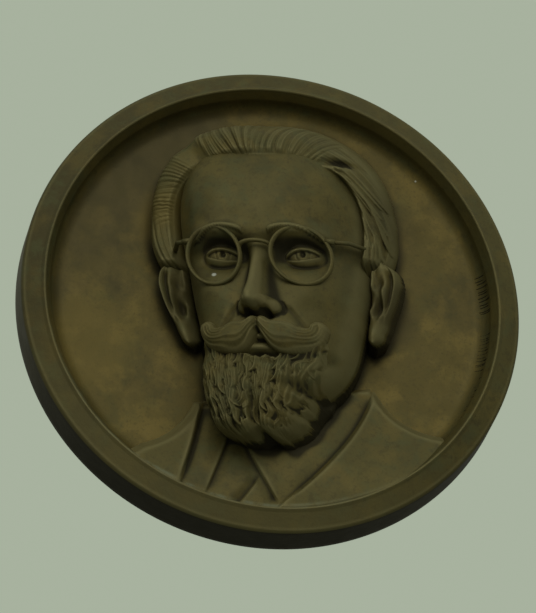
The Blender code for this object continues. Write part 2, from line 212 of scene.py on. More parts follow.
def noseForm(s, v):
    base = face["noseBase"]
    bridge = through((base - 5, base - 1, base + 3, base + 10, base + 24, 112, 124, 136),
                     (0, 5, 16, 20.2, 16.5, 10, 6.5, 0), v)
    slack = through((base, base + 8, base + 16, base + 30, 112, 128), (9, 11.5, 10, 8, 7.5, 11), v)
    form = bridge * np.exp(-(s / slack) ** 2.6)
    wing = dome(s, v, (11.2, base + 6.5), (6.6, 7.4), 7.6)
    form = blendMax(form, wing, 3) + 0.25 * np.minimum(form, wing)
    form = form + swell(s, v, (0, base + 9), (8, 6), 1.4)             # tip
    form = form + swell(s, v, (6.8, base + 0.5), (3.4, 2.6), -8)      # nostrils
    return form + groove(s, v, arc((16, base + 14), (21.5, base + 8), (17.5, base - 1)), 1.5, 1.8, 4)


def browHair(s, v):
    form = np.zeros(s.shape)
    line = face["browLine"]
    for t in np.linspace(0, 1, face["browHairs"]):
        foot = (11 + 39 * t, line - 3 + 8.5 * math.sin(math.pi * min(t * 0.8 + 0.12, 1)) - 3 * t)
        bend = (foot[0] + 1.2, foot[1] + 3.6 - 2 * t)
        end = (foot[0] + 4 + 3.5 * t, foot[1] + 5.5 - 6.5 * t)
        carveLock(form, s, v, arc(foot, bend, end, 5), 1.9 - 0.5 * t, 1.7, tip=0.4, strand=0.15, pitch=3.2)
    return form


def faceForm(u, v):
    s = np.abs(u)
    eye, brow, mouth = face["eyeLine"], face["browLine"], face["mouthLine"]
    form = skullForm(u, v)
    form += swell(s, v, (45, 93), (20, 18), 3.6)             # cheekbones
    form += swell(s, v, (31, eye), (18, 11.5), -10)          # sockets
    form += swell(s, v, (14, eye + 2), (6, 8), -3)
    form += swell(s, v, (32, brow + 2), (22, 6.5), 4)        # ridges of the brows
    form += swell(s, v, (52, brow - 4), (8, 8), 2)
    form += swell(s, v, (24, 176), (20, 18), 1.2)            # forehead
    form += swell(s, v, (64, 156), (9, 18), -2.2)            # temples
    form += swell(s, v, (38, 66), (12, 16), -1.6)            # cheeks
    form += noseForm(s, v)
    form += groove(s, v, arc((18, 78), (28, 66), (38, 50)), 3.2, 2.0, 4)
    form = eyeForm(s, v, form)
    form += browHair(s, v)
    form += swell(s, v, (0, mouth + 5), (10, 3.4), 2.5)      # lips
    form += swell(s, v, (0, mouth - 5), (13, 4), 4)
    form += swell(s, v, (0, mouth - 14), (12, 4), -2)
    form += groove(s, v, arc((-6, mouth + 0.5), (10, mouth + 2), (26, mouth)), 1.2, 2.5, 9)
    return form + 0.18 * unevenness(u, v, 3.5, 5)


# Ears and neck

ear = {"grid": 0.5, "low": (-106, 54), "high": (106, 132), "cut": -1, "middle": (84.5, 93), "lean": 0.12,
       "tall": 35}


def earForm(u, v):
    up = v - ear["middle"][1]
    side = np.abs(u) - ear["middle"][0] - ear["lean"] * up
    half = through((-36, -33, -26, -12, 6, 20, 30, 35), (1.5, 5.5, 8, 9.5, 12, 12.5, 9, 2), up)
    bow = through((-36, -20, 0, 20, 35), (-4.5, -3, 0, 0.5, -2), up)
    across = (side - bow) / half
    past = np.maximum(np.abs(side - bow) - half, 0) + np.maximum(np.abs(up) - ear["tall"], 0)
    form = 2 + 10 * np.sqrt(np.clip(1 - across ** 2, 0, 1)) + 0.10 * side
    reach = ease((up + 20) / 10) * np.where(across > 0, 1, ease((up - 8) / 8))
    form += 3.2 * np.exp(-((np.abs(across) - 0.82) / 0.19) ** 2) * reach                # rolled edge
    form -= 2.6 * np.exp(-((across - 0.50) / 0.19) ** 2) * ease((up + 12) / 10) * ease((30 - up) / 8)
    gap, share = along(side, up, curl((-3, -17), (6, -9), (4, 6), (-1, 18), 14))
    form += 2.2 * np.exp(-(gap / 2.6) ** 2) * ease(5 * share) * ease(4 * (1 - share))   # inner fold
    form += swell(side, up, (-1.8, -5), (4.6, 8), -6.5)      # bowl
    form += swell(side, up, (-2, 15), (3.8, 6), -3)
    form += swell(side, up, (-8.8, -7), (3, 4.5), 3)         # flap before the bowl
    form += swell(side, up, (-3.5, -27), (5, 6), 1.6)        # lobe
    return form - face["steep"] * past


neck = {"grid": 1.5, "low": (-60, -50), "high": (60, 40), "cut": -4, "half": 38, "top": 28}


def neckForm(u, v):
    past = np.maximum(np.abs(u) - neck["half"], 0) + np.maximum(v - neck["top"], 0)
    return 2 - 0.0075 * u ** 2 - face["steep"] * past


# Hair, in polar places about a point on the forehead

hair = {"grid": 0.62, "low": (-114, 106), "high": (114, 258), "cut": -12, "middle": (3, 152), "roll": 1.8,
        "templeLocks": 30, "bottom": 114}


def oval(angle, wide, tall, power):  # how far a squared oval reaches in each direction
    return 1 / (np.abs(np.cos(angle) / wide) ** power + np.abs(np.sin(angle) / tall) ** power) ** (1 / power)


def hairline(angle):
    return oval(angle, np.where(np.cos(angle) < 0, 84, 72), 58, 2.7)


def hairReach(angle):
    return oval(angle, np.where(np.cos(angle) < 0, 110, 95), np.where(np.sin(angle) > 0, 100, 66), 2.25)


def polar(degrees, share):  # between the hairline, at 0, and the outline, at 1
    angle = math.radians(degrees)
    reach = hairline(angle) * (1 - share) + hairReach(angle) * share
    return hair["middle"][0] + reach * math.cos(angle), hair["middle"][1] + reach * math.sin(angle)


def bunches(w, flow, period, rise, seed):
    # wavy strands across w that run along flow: rounded bunches with finer strands on them
    draws = np.random.default_rng(seed)
    for k in range(3):
        w = w + period * 0.22 * np.sin(flow / draws.uniform(9, 22) + w / draws.uniform(1.1, 2.4) / period
                                       + draws.uniform(0, math.tau))
    size = 0.68 + 0.32 * np.sin(w / (0.9 * period) + flow / 31 + seed)
    bunch = np.abs(np.cos(math.pi * w / period)) ** 0.65
    fine = np.cos(math.tau * w / (0.31 * period) + flow / 14) + 0.6 * np.cos(math.tau * w / (0.19 * period))
    return rise * size * bunch + 0.14 * rise * fine


def hairLocks(u, v, angle, share):
    degrees = np.degrees(angle) % 360
    degrees = np.where(degrees > 270, degrees - 360, degrees)
    top = bunches(1.5 * degrees + 5 * share * np.sin(degrees / 9), 25 * share, 7.5, 1.9, 3)
    left = bunches(1.6 * degrees - 7 * share, 25 * share + degrees, 3.8, 0.9, 8)
    right = bunches(27 * share + 0.253 * degrees, 1.5 * degrees, 7, 1.8, 5)
    low = bunches(22 * share, 1.5 * degrees, 5.5, 1.1, 14)
    isTop = ease((degrees - 49) / 6) * ease((129 - degrees) / 4)
    isLeft = ease((degrees - 138) / 5) * ease((180 - degrees) / 12)
    isRight = ease((56 - degrees) / 8)
    isLow = ease((degrees - 170) / 12)
    form = top * isTop + left * isLeft + low * isLow + (1.5 + right) * isRight
    draws = np.random.default_rng(11)
    for k in range(hair["templeLocks"]):          # locks swept over the temple, ending in points
        start = 46 - 2.1 * k + draws.uniform(-2, 2)
        lane = draws.uniform(-0.02, 0.42)
        path = curl(polar(start, lane), polar(start - 8, lane + 0.18), polar(start - 19, lane + 0.24),
                    polar(start - 30, lane + 0.5))
        carveLock(form, u, v, path, draws.uniform(3, 4.8), draws.uniform(3.8, 5.8),
                  tip=0.15, strand=0.45, pitch=2.6, root=0.3)
    return form


def hairForm(u, v):
    middle = hair["middle"]
    angle = np.arctan2(v - middle[1], u - middle[0])
    reach = np.hypot(u - middle[0], v - middle[1])
    inner = hairline(angle)
    outer = hairReach(angle)
    share = np.clip((reach - inner) / (outer - inner), 0, 1)
    crown = np.clip(np.sin(angle), 0, 1) ** 1.5
    brim = 15 + 20.5 * crown
    turned = ease(0.5 - np.cos(angle) * 1.6)          # 0 on the right, where the hair lies flat
    bend = 2.2 + 2.5 * ease(-1.5 * np.cos(angle))
    form = -6 + (brim + 6) * (1 - share ** bend) ** 0.6
    form = form + hair["roll"] * ease(share * 6) * (1 - 0.7 * share) * (0.25 + 0.75 * turned)
    form = form + hairLocks(u, v, angle, share) * ease(share * 5 + 0.2 * turned)
    parting = arc(polar(133, -0.5), polar(133, 0.4), polar(133, 1.5))
    form = form + groove(u, v, parting, 9, 2.4)
    form = form + swell(u, v, (63, 208), (11, 4), -6.5) + swell(u, v, (58, 203), (12, 3), 1.8)
    form = form - 14 * ease((128 - v) / 14)           # thins out above the ears
    past = np.maximum(inner - reach, 0) * 0.14 + np.maximum(reach - outer, 0)
    return form - face["steep"] * (past + np.maximum(hair["bottom"] - v, 0))


# Beard and moustache

beard = {"grid": 0.45, "low": (-64, -40), "high": (66, 60), "cut": -2, "middle": -13, "edge": 5,
         "bottom": -30}


def beardLocks(off, v):  # waved bunches, with short curled locks lying over them
    spread = off * (1 + 0.006 * (48 - v))
    wave = 3.2 * np.sin(v / 6.2 + 1.4 * np.sin(off / 8.5)) + 2 * np.sin(v / 3.4 + off / 6)
    form = bunches(spread + wave, v, 8.5, 2.0, 6)
    form = form + 0.8 * np.sin(off / 3.6 + 1.5 * np.sin(v / 7)) * np.sin(v / 4.4 + 1.7 * np.sin(off / 9))
    draws = np.random.default_rng(23)
    feet = [(x, y) for y in range(52, -30, -8) for x in range(-46, 60, 9)]
    for x, y in feet:
        x, y = x + draws.uniform(-5, 5), y + draws.uniform(-5, 4)
        turn = draws.choice((-1, 1)) * draws.uniform(2.5, 5)
        drop = draws.uniform(15, 26)
        path = curl((x, y), (x + turn, y - 0.3 * drop), (x - 0.1 * x - turn, y - 0.7 * drop),
                    (x - 0.15 * x + 0.9 * turn, y - drop))
        carveLock(form, off, v, path, draws.uniform(4, 6.8), draws.uniform(2, 3.1),
                  tip=0.2, strand=0.3, pitch=2.2, root=0.1, crisp=0.9)
    return form


def beardForm(u, v):
    off = u - beard["middle"]
    left = through((-31, -25, -10, 8, 30, 48), (20, 32, 42, 47, 49, 47), v)
    right = through((-31, -25, -10, 8, 30, 48), (18, 27, 37, 46, 54, 58), v)
    half = np.where(off > 0, right, left)
    front = through((-31, -27, -16, 0, 24, 44), (31, 38, 43, 45, 42, 37), v)
    drift = ease((16 - v) / 20) * (0.5 * np.sin(v / 2.9 + off / 7) + 0.25 * np.sin(v / 1.5 + off / 11))
    across = np.clip(1 - np.abs((off + drift) / half) ** 3, 0, 1) ** 0.5
    form = beard["edge"] + (front - beard["edge"]) * across
    form = blendMax(form, skullForm(u, v) + 2.6, 3)
    onFlank = ease((np.abs(off) - half + 1) / 3) * ease((6 - v) / 10)
    carving = beardLocks(off, v) * (1 - onFlank)                        # none on the steep sides
    notch = np.exp(-((u + 9) / 5) ** 2)                                 # parts the tip in two
    form = form + carving * (1 + 0.5 * ease((10 - v) / 30)) - 7 * notch * ease((12 - v) / 24)
    low = beard["bottom"] + 5 * notch + 0.5 * np.maximum(off - 34, 0)
    top = 32 + 18 * ease((np.abs(u) - 10) / 20) + np.sin(u / 2.3) + 0.7 * np.sin(u / 1.1)
    side = np.maximum(np.abs(off) - half, 0)
    side = side - 0.88 * ease((v + 12) / 16) * np.minimum(side, 4)      # runs out over the cheek
    past = side + np.maximum(low - v, 0) + np.maximum(v - top, 0) * 0.25
    return form - face["steep"] * past


moustache = {"grid": 0.42, "low": (-62, 32), "high": (62, 72), "cut": 20, "rise": 9}


def moustacheForm(u, v):
    s = np.where(u > 0, u / 0.93, -u)             # a little shorter on the left
    line = face["mouthLine"]
    sweep = np.vstack([arc((3, line + 14), (18, line + 1), (33, line + 3), 14),
                       arc((33, line + 3), (45, line + 5), (47, line + 14), 8)[1:]])
    gap, share = along(s, v, sweep)
    half = through((0, 0.3, 0.7, 1), (7, 13.5, 10.5, 7), share)
    body = np.sqrt(np.clip(1 - (gap / half) ** 2, 0, 1))
    base = through((0, 30, 52), (43, 39, 32), s)
    lane = gap / half
    flow = share + 0.5 * np.sin(share * 9 + 2 * lane) + 0.2 * np.sign(u) * share
    strands = 0.26 * np.cos(lane * 8 + 3 * flow) + 0.2 * np.cos(lane * 19 + 5 * flow)
    rise = moustache["rise"] * (1 - 0.35 * share ** 2)
    parting = -1.8 * np.exp(-(s / 2.6) ** 2)
    past = np.maximum(np.abs(gap) - half, 0)
    return base + (rise + strands) * body + parting - face["steep"] * past


# Disc and head on it, in metres

disc = {
    "edgeDepth": 0.035, "chamfer": 0.0015, "rounding": 0.003,          # outer edge
    "rimWidth": 0.019, "rimRise": 0.008, "bead": 0.0016,
    "fieldHeight": 0.022, "wallSlope": 0.004, "cove": 0.012,           # inside the rim
    "waves": 0.00016, "swells": 0.00025,                               # unevenness of the cast front
    "steps": 300, "fieldRings": 56,
}
rimInner = plaqueRadius - disc["rimWidth"]
rimHeight = disc["edgeDepth"] + disc["rimRise"]
head = {
    "turn": math.radians(17), "shift": 2.4, "lead": 0.07, "right": 0.011, "chin": 0.100, "ears": 0.033,
    "sink": 0.012,           # height over the back below which nothing is carved
    "root": 0.006,           # height over the back at which the relief ends, inside the disc
}


def rimTop(reach):
    return rimHeight - disc["rimRise"] * (reach - rimInner) / disc["rimWidth"]


# Coat, in parts across and above the plaque's middle; heights in metres

coat = {"grid": 0.9, "low": (-192, -192), "high": (192, -56), "cut": head["sink"] / part,
        "shoulder": 0.005, "chest": 0.006, "fold": 0.0019, "edge": 0.005, "gap": 0.0002, "waves": 0.00025,
        "slopeFrom": 84, "slopeLong": 84, "steep": 4}


def fold(x, z, path, drop, width):
    # an edge of cloth: a step down on the path's left, run out over the width
    gap, share = along(x, z, path)
    low = np.where(gap > 0, np.exp(-(gap / width) ** 2), np.exp(-(gap / 0.9) ** 2))
    ends = ease(8 * share) * ease(3 * (1 - share))
    return -drop * low * np.where((np.abs(gap) < 3 * width) & (share > 0) & (share < 1), ends, 0)


def coatOutline():
    left = arc((-64, -86), (-78, -116), (-108, -125))
    right = arc((80, -66), (92, -102), (126, -110))
    low = ((146, -114), (230, -120), (230, -260), (-230, -260), (-230, -142), (-126, -136))
    return np.vstack([right, low, left[::-1]])


def coatHeight(x, z):
    reach = np.hypot(x, z) * part
    level = disc["fieldHeight"] + coat["shoulder"]
    lift = ease((-z - coat["slopeFrom"]) / coat["slopeLong"])
    height = level + (rimHeight - coat["gap"] - level) * lift
    height = height + swell(x, z, (-4, -112), (60, 36), coat["chest"])
    jacketLeft = arc((-58, -84), (-66, -124), (-84, -166), 12)
    jacketRight = arc((84, -62), (70, -118), (2, -176), 12)
    collarLeft = arc((-38, -116), (-50, -146), (-64, -178))
    collarRight = arc((-30, -120), (-22, -146), (-4, -180))
    tie = arc((-18, -152), (-24, -164), (-40, -182))
    opening = np.vstack([jacketLeft, ((-95, -210), (-30, -210)), jacketRight[::-1]])
    height = height - coat["fold"] * ease(insideDistance(x, z, opening) / 2.5)
    # path, drop and width of each edge of cloth
    folds = ((jacketLeft, 3, 6), (jacketRight[::-1], 1.6, 8), (collarLeft, 2.2, 7),
             (collarRight[::-1], 2.4, 8), (tie[::-1], 1.8, 5))
    for path, drop, width in folds:
        height = height + part * fold(x, z, path, drop, width)
    height = height + part * swell(x, z, (-14, -166), (9, 14), 1.0)       # knot of the tie
    height = height + coat["waves"] * unevenness(x, z, 9, 3)
    edge = insideDistance(x, z, coatOutline())
    height = height - coat["edge"] * (1 - ease(edge / 7.5)) - coat["steep"] * part * np.maximum(-edge, 0)
    height = np.minimum(height, rimTop(reach) - coat["gap"])
    return height - coat["steep"] * np.maximum(reach - rimInner - 0.5 * disc["rimWidth"], 0)


def coatForm(x, z):
    return coatHeight(x, z) / part


# Making meshes; each carries a float attribute from 0 on worn and painted-highlit edges to 1 in dark patina
# and painted shade

grimeAndShade = {
    "clean": 0.5, "hollows": 0.55,                       # an even surface, and how much hollows add
    "downward": 0.5, "downFrom": 0.35, "downMost": 1.2,  # painted shade on slopes that face downwards
    "headFoot": 0.32, "headFootHigh": 15,                # painted shade low on the sides of the head, next to the field
    "nearHead": 0.4, "nearHeadWide": 7,                  # painted shadow on the coat, round the head
    "shelter": 0.4, "shelterHang": 5, "shelterDeep": 9,  # painted shadow under what hangs over a piece
}


def headToPlaque():  # turns, leans and places the head
    return Matrix(((math.cos(head["turn"]), head["shift"] * math.sin(head["turn"]), 0, head["right"]),
                   (-head["lead"], 1, 0, -head["ears"]),
                   (0, 0, 1, -head["chin"]),
                   (0, 0, 0, 1)))


def besideHead(x, z, width):  # 1 at the head's outline, fading outwards over the field; the mask of the painted shadow round the head
    u = (x - head["right"] / part) / math.cos(head["turn"])
    v = z + head["chin"] / part
    nearest = np.max([form(u, v) for form in (faceForm, hairForm, beardForm, earForm)], axis=0)
    return np.exp(-(np.maximum(-nearest / face["steep"], 0) / width) ** 2)


def boxBlur(sheet, reach):  # along both directions of a sheet
    for turn in range(2):
        padded = np.pad(sheet, ((0, 0), (reach + 1, reach)), mode="edge")
        sums = np.cumsum(padded, axis=1)
        sheet = ((sums[:, 2 * reach + 1:] - sums[:, :-2 * reach - 1]) / (2 * reach + 1)).T
    return sheet


def cavity(places, raised, low, high, columns, rows):
    # how far each place lies below its neighbourhood, as a share for the patina in hollows, with painted
    # shade added on slopes that face downwards
    i = np.rint((places[:, 0] - low[0]) / (high[0] - low[0]) * columns).astype(int)
    j = np.rint((places[:, 2] - low[1]) / (high[1] - low[1]) * rows).astype(int)
    sheet = np.zeros((rows + 1, columns + 1))
    sheet[j, i] = raised
    total = np.zeros(sheet.shape)
    for reach in (3, 7):
        total += (boxBlur(boxBlur(sheet, reach), reach) - sheet) / reach
    # painted shade: darker where the surface faces downwards
    facingDown = np.gradient(boxBlur(sheet, 1), axis=0) * rows / (high[1] - low[1])
    total += grimeAndShade["downward"] * np.clip(facingDown - grimeAndShade["downFrom"], 0, grimeAndShade["downMost"])
    return np.clip(grimeAndShade["clean"] + grimeAndShade["hollows"] * total[j, i], 0, 1)


def reliefMesh(name, settings, surface, matrix, shelter=None):
    # a grid kept where the surface stands over the cut and the sink, raised to it, with walls
    # straight back from the cut to a level root inside the disc
    low, high = settings["low"], settings["high"]
    columns = int(round((high[0] - low[0]) / settings["grid"]))
    rows = int(round((high[1] - low[1]) / settings["grid"]))
    bm = bmesh.new()
    bmesh.ops.create_grid(bm, x_segments=columns, y_segments=rows, size=0.5)
    spread = Matrix.Translation(((low[0] + high[0]) / 2, 0, (low[1] + high[1]) / 2)) @ Matrix(
        ((high[0] - low[0], 0, 0, 0), (0, 0, -1, 0), (0, high[1] - low[1], 0, 0), (0, 0, 0, 1)))
    bmesh.ops.transform(bm, matrix=spread, verts=bm.verts)
    places = np.array([vert.co for vert in bm.verts])
    x, z = places[:, 0], places[:, 2]
    depth = surface(x, z)
    # a level plane over the plaque's back leans in the head's own space
    sunk = (head["sink"] + matrix[1][3]) / part + matrix[1][0] * x
    under = np.maximum(settings["cut"], sunk)
    hollow = cavity(places, np.maximum(depth, under), low, high, columns, rows)
    if matrix == Matrix():                        # the coat, which lies on the plaque itself
        # painted shadow on the coat round the head
        hollow = hollow + grimeAndShade["nearHead"] * besideHead(x, z, grimeAndShade["nearHeadWide"])
    else:
        # painted shade low on the sides of the head, where it meets the field
        over = depth - (disc["fieldHeight"] + matrix[1][3]) / part - matrix[1][0] * x
        hollow = hollow + grimeAndShade["headFoot"] * ease(1 - over / grimeAndShade["headFootHigh"])
    hollow = np.clip(hollow, 0, 1)
    # painted shadow under a piece that hangs over this one
    if shelter:
        hanging = shelter(x, z + grimeAndShade["shelterHang"]) - depth
        hollow = np.clip(hollow + grimeAndShade["shelter"] * ease(hanging / grimeAndShade["shelterDeep"]), 0, 1)
    layer = bm.verts.layers.float.new("hollow")
    stands = set()
    for vert, top, bottom, share in zip(bm.verts, depth.tolist(), under.tolist(), hollow.tolist()):
        vert.co.y = -max(top, bottom)
        vert[layer] = share
        if top > bottom:
            stands.add(vert)
    idle = [facet for facet in bm.faces if stands.isdisjoint(facet.verts)]
    bmesh.ops.delete(bm, geom=idle, context="FACES")
    rim = [edge for edge in bm.edges if edge.is_boundary]
    skirt = bmesh.ops.extrude_edge_only(bm, edges=rim)["geom"]
    lowEdges = [item for item in skirt if isinstance(item, bmesh.types.BMEdge)]
    lowVerts = [item for item in skirt if isinstance(item, bmesh.types.BMVert)]
    for vert in bm.verts:
        front = matrix @ (part * Vector((vert.co.x, min(vert.co.y, 0), vert.co.z)))
        vert.co = (front.x, (matrix @ (part * vert.co)).y, front.z)
    # painted shade: the walls darken towards their root
    for vert in lowVerts:
        vert.co.y = -head["root"]
        vert[layer] = 1
    bmesh.ops.triangle_fill(bm, use_beauty=False, edges=[edge for edge in lowEdges if edge.is_boundary])
    return addPiece(name, bm)


def addPiece(name, bm):
    bmesh.ops.recalc_face_normals(bm, faces=bm.faces)
    for facet in bm.faces:
        facet.smooth = True
    mesh = bpy.data.meshes.new(name)
    bm.to_mesh(mesh)
    bm.free()
    piece = bpy.data.objects.new(name, mesh)
    bpy.context.scene.collection.objects.link(piece)
    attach(piece, "root")
    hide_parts("portrait_plaque")
    piece.data.materials.append(bronze)
    print("made", name, len(mesh.polygons), "faces")
    return piece


# Disc

def onArc(middle, radius, degrees):  # radius and height of a place on an arc of the outline
    angle = math.radians(degrees)
    return middle[0] + radius[0] * math.cos(angle), middle[1] + radius[1] * math.sin(angle)


def discProfile():
    # radius and height of the turned outline, from the middle of the back round to the field
    edge, rounding, bead, cove = (disc[key] for key in ("edgeDepth", "rounding", "bead", "cove"))
    points = [(0.0, 0.0)]
    points += [(r, 0.0) for r in np.linspace(0.02, plaqueRadius - disc["chamfer"], 12)]
    points.append((plaqueRadius, disc["chamfer"]))
    points += [(plaqueRadius, h) for h in np.linspace(0.006, edge - rounding, 8)]
    shoulder = plaqueRadius - rounding
    points += [onArc((shoulder, edge - rounding), (rounding, rounding + 0.0012), a)
               for a in np.linspace(10, 90, 7)]
    for t in np.linspace(0.15, 1, 12):                       # sloping top of the rim
        r = shoulder + (rimInner + 2.4 * bead - shoulder) * t
        points.append((r, min(rimTop(r), rimHeight - 0.0003)))
    points += [onArc((rimInner + bead, rimHeight - bead), (bead, bead), a) for a in np.linspace(60, 180, 8)]
    foot = rimInner - disc["wallSlope"]
    top = rimHeight - bead
    base = disc["fieldHeight"] + cove
    points += [(rimInner + (foot - rimInner) * t, top + (base - top) * t) for t in np.linspace(0.15, 1, 9)]
    points += [onArc((foot - cove, base), (cove, -cove), a) for a in np.linspace(10, 90, 9)]
    points += [(r, disc["fieldHeight"]) for r in np.linspace(foot - cove, 0, disc["fieldRings"])[1:]]
    return points


def nearRing(reach, radius, width):  # 1 on a circle, fading on both sides
    return np.exp(-((reach - radius) / width) ** 2)


def makeDisc():
    bm = bmesh.new()
    verts = [bm.verts.new((r, -h, 0)) for r, h in discProfile()]
    edges = [bm.edges.new(pair) for pair in zip(verts, verts[1:])]
    bmesh.ops.spin(bm, geom=verts + edges, cent=(0, 0, 0), axis=(0, 1, 0), dvec=(0, 0, 0),
                   angle=math.tau, steps=disc["steps"], use_merge=True, use_duplicate=False)
    bmesh.ops.remove_doubles(bm, verts=bm.verts, dist=0.00001)
    layer = bm.verts.layers.float.new("hollow")
    places = np.array([vert.co for vert in bm.verts])
    x, z, height = places[:, 0], places[:, 2], -places[:, 1]
    reach = np.hypot(x, z)
    isFront = height > disc["edgeDepth"] - 0.014
    lift = disc["waves"] * unevenness(x, z, 0.011, 4) + disc["swells"] * unevenness(x, z, 0.035, 9)
    lift = np.where(isFront, lift, 0)
    onField = ease((rimInner - 0.002 - reach) / 0.004)
    # painted shade on the field at the foot of the rim's inner wall and round the head
    paintedShade = 0.25 * nearRing(reach, rimInner - disc["wallSlope"] - 0.001, 0.004) * onField
    paintedShade = np.maximum(paintedShade, 0.75 * besideHead(x / part, z / part, 8) * isFront)
    # lighter on the rim's inner and outer edges: wear and painted highlight
    wornAndHighlit = nearRing(reach, rimInner + 0.0008, 0.0016) + 0.8 * nearRing(reach, plaqueRadius - 0.0022, 0.0016)
    wornAndHighlit = wornAndHighlit * np.where(height > disc["edgeDepth"] - 0.002, 1, 0)
    hollow = grimeAndShade["clean"] + 0.4 * paintedShade - 0.16 * wornAndHighlit
    for vert, rise, share in zip(bm.verts, lift.tolist(), hollow.tolist()):
        vert.co.y -= rise
        vert[layer] = share
    return addPiece("plaqueDisc", bm)


# Bronze

class Shade:
    # one socket of a node tree, with arithmetic that adds Math nodes
    def __init__(self, tree, socket):
        self.tree = tree
        self.socket = socket

    def node(self, kind, settings=None, inputs=None, output=0):
        made = self.tree.nodes.new(kind)
        for key, value in (settings or {}).items():
            setattr(made, key, value)
        for key, value in (inputs or {}).items():
            if isinstance(value, Shade):
                self.tree.links.new(value.socket, made.inputs[key])
            else:
                made.inputs[key].default_value = value
        return Shade(self.tree, made.outputs[output])

    def math(self, operation, *values):
        return self.node("ShaderNodeMath", {"operation": operation}, dict(enumerate(values)))

    def __add__(self, other):
        return self.math("ADD", self, other)

    def __sub__(self, other):
        return self.math("SUBTRACT", self, other)

    def __mul__(self, other):
        return self.math("MULTIPLY", self, other)

    def __radd__(self, other):
        return self.math("ADD", other, self)

    def __rsub__(self, other):
        return self.math("SUBTRACT", other, self)

    def __rmul__(self, other):
        return self.math("MULTIPLY", other, self)

    def __pow__(self, other):
        return self.math("POWER", self, other)

    def ramp(self, low, high):  # 0 at low to 1 at high, eased
        return self.node("ShaderNodeMapRange", {"interpolation_type": "SMOOTHSTEP"},
                         {0: self, 1: low, 2: high, 3: 0.0, 4: 1.0})

    def noise(self, scale, detail=3, rough=0.55):
        return self.node("ShaderNodeTexNoise", {}, {"Vector": self, "Scale": scale, "Detail": detail,
                                                    "Roughness": rough})

    def blend(self, share, other):  # colour mix
        return self.node("ShaderNodeMix", {"data_type": "RGBA"}, {0: share, 6: self, 7: other}, 2)

    def band(self, low, up, down, high):  # 1 from up to down, 0 below low and above high
        return self.ramp(low, up) * (1 - self.ramp(down, high))

    def away(self, middle):  # distance from a fixed place
        return self.node("ShaderNodeVectorMath", {"operation": "DISTANCE"}, {0: self, 1: middle}, 1)


patina = {
    "body": (0.092, 0.076, 0.022, 1),
    "field": (0.100, 0.074, 0.017, 1),    # warmer on the field
    "ochreAndLight": (0.165, 0.118, 0.027, 1),    # rubbed or rain-washed patches, and painted light on the top of the rim's inner wall
    "green": (0.085, 0.092, 0.036, 1),    # thin verdigris on high places
    "rubbedAndLit": (0.185, 0.155, 0.060, 1),   # edges worn by hands and weather, and painted highlight on raised edges and the lower rim
    "bloomAndHighlight": (0.170, 0.190, 0.120, 1),    # pale green patina along the inner edge of the rim, painted as a highlight line on its lower left
    # stains, and painted shade on the upper field
    "stainAndShade": (0.048, 0.038, 0.014, 1),
    # dark patina in hollows, and painted shade
    "darkPatinaAndShade": (0.011, 0.009, 0.005, 1),
    "dirt": (0.55, 0.56, 0.46, 1),
    "specular": (1.0, 0.90, 0.55, 1),
    "metallic": 0.35, "roughness": 0.46,
    "bump": 0.2, "bumpDistance": 0.0006,
    "patches": (                          # middle, size, share and tone
        ((-0.150, -0.023, -0.040), 0.050, 0.40, "ochreAndLight"),
        ((-0.080, -0.030, 0.072), 0.034, 0.45, "ochreAndLight"),
        ((0.090, -0.030, 0.066), 0.040, 0.40, "stainAndShade"),
        ((0.096, -0.036, -0.010), 0.034, 0.55, "stainAndShade"),
        ((-0.062, -0.036, -0.006), 0.034, 0.40, "stainAndShade")),
    "dirtSpots": (((-0.0517, -0.066, 0.0049), 0.0017), ((0.1249, -0.0229, 0.1145), 0.0007)),
}


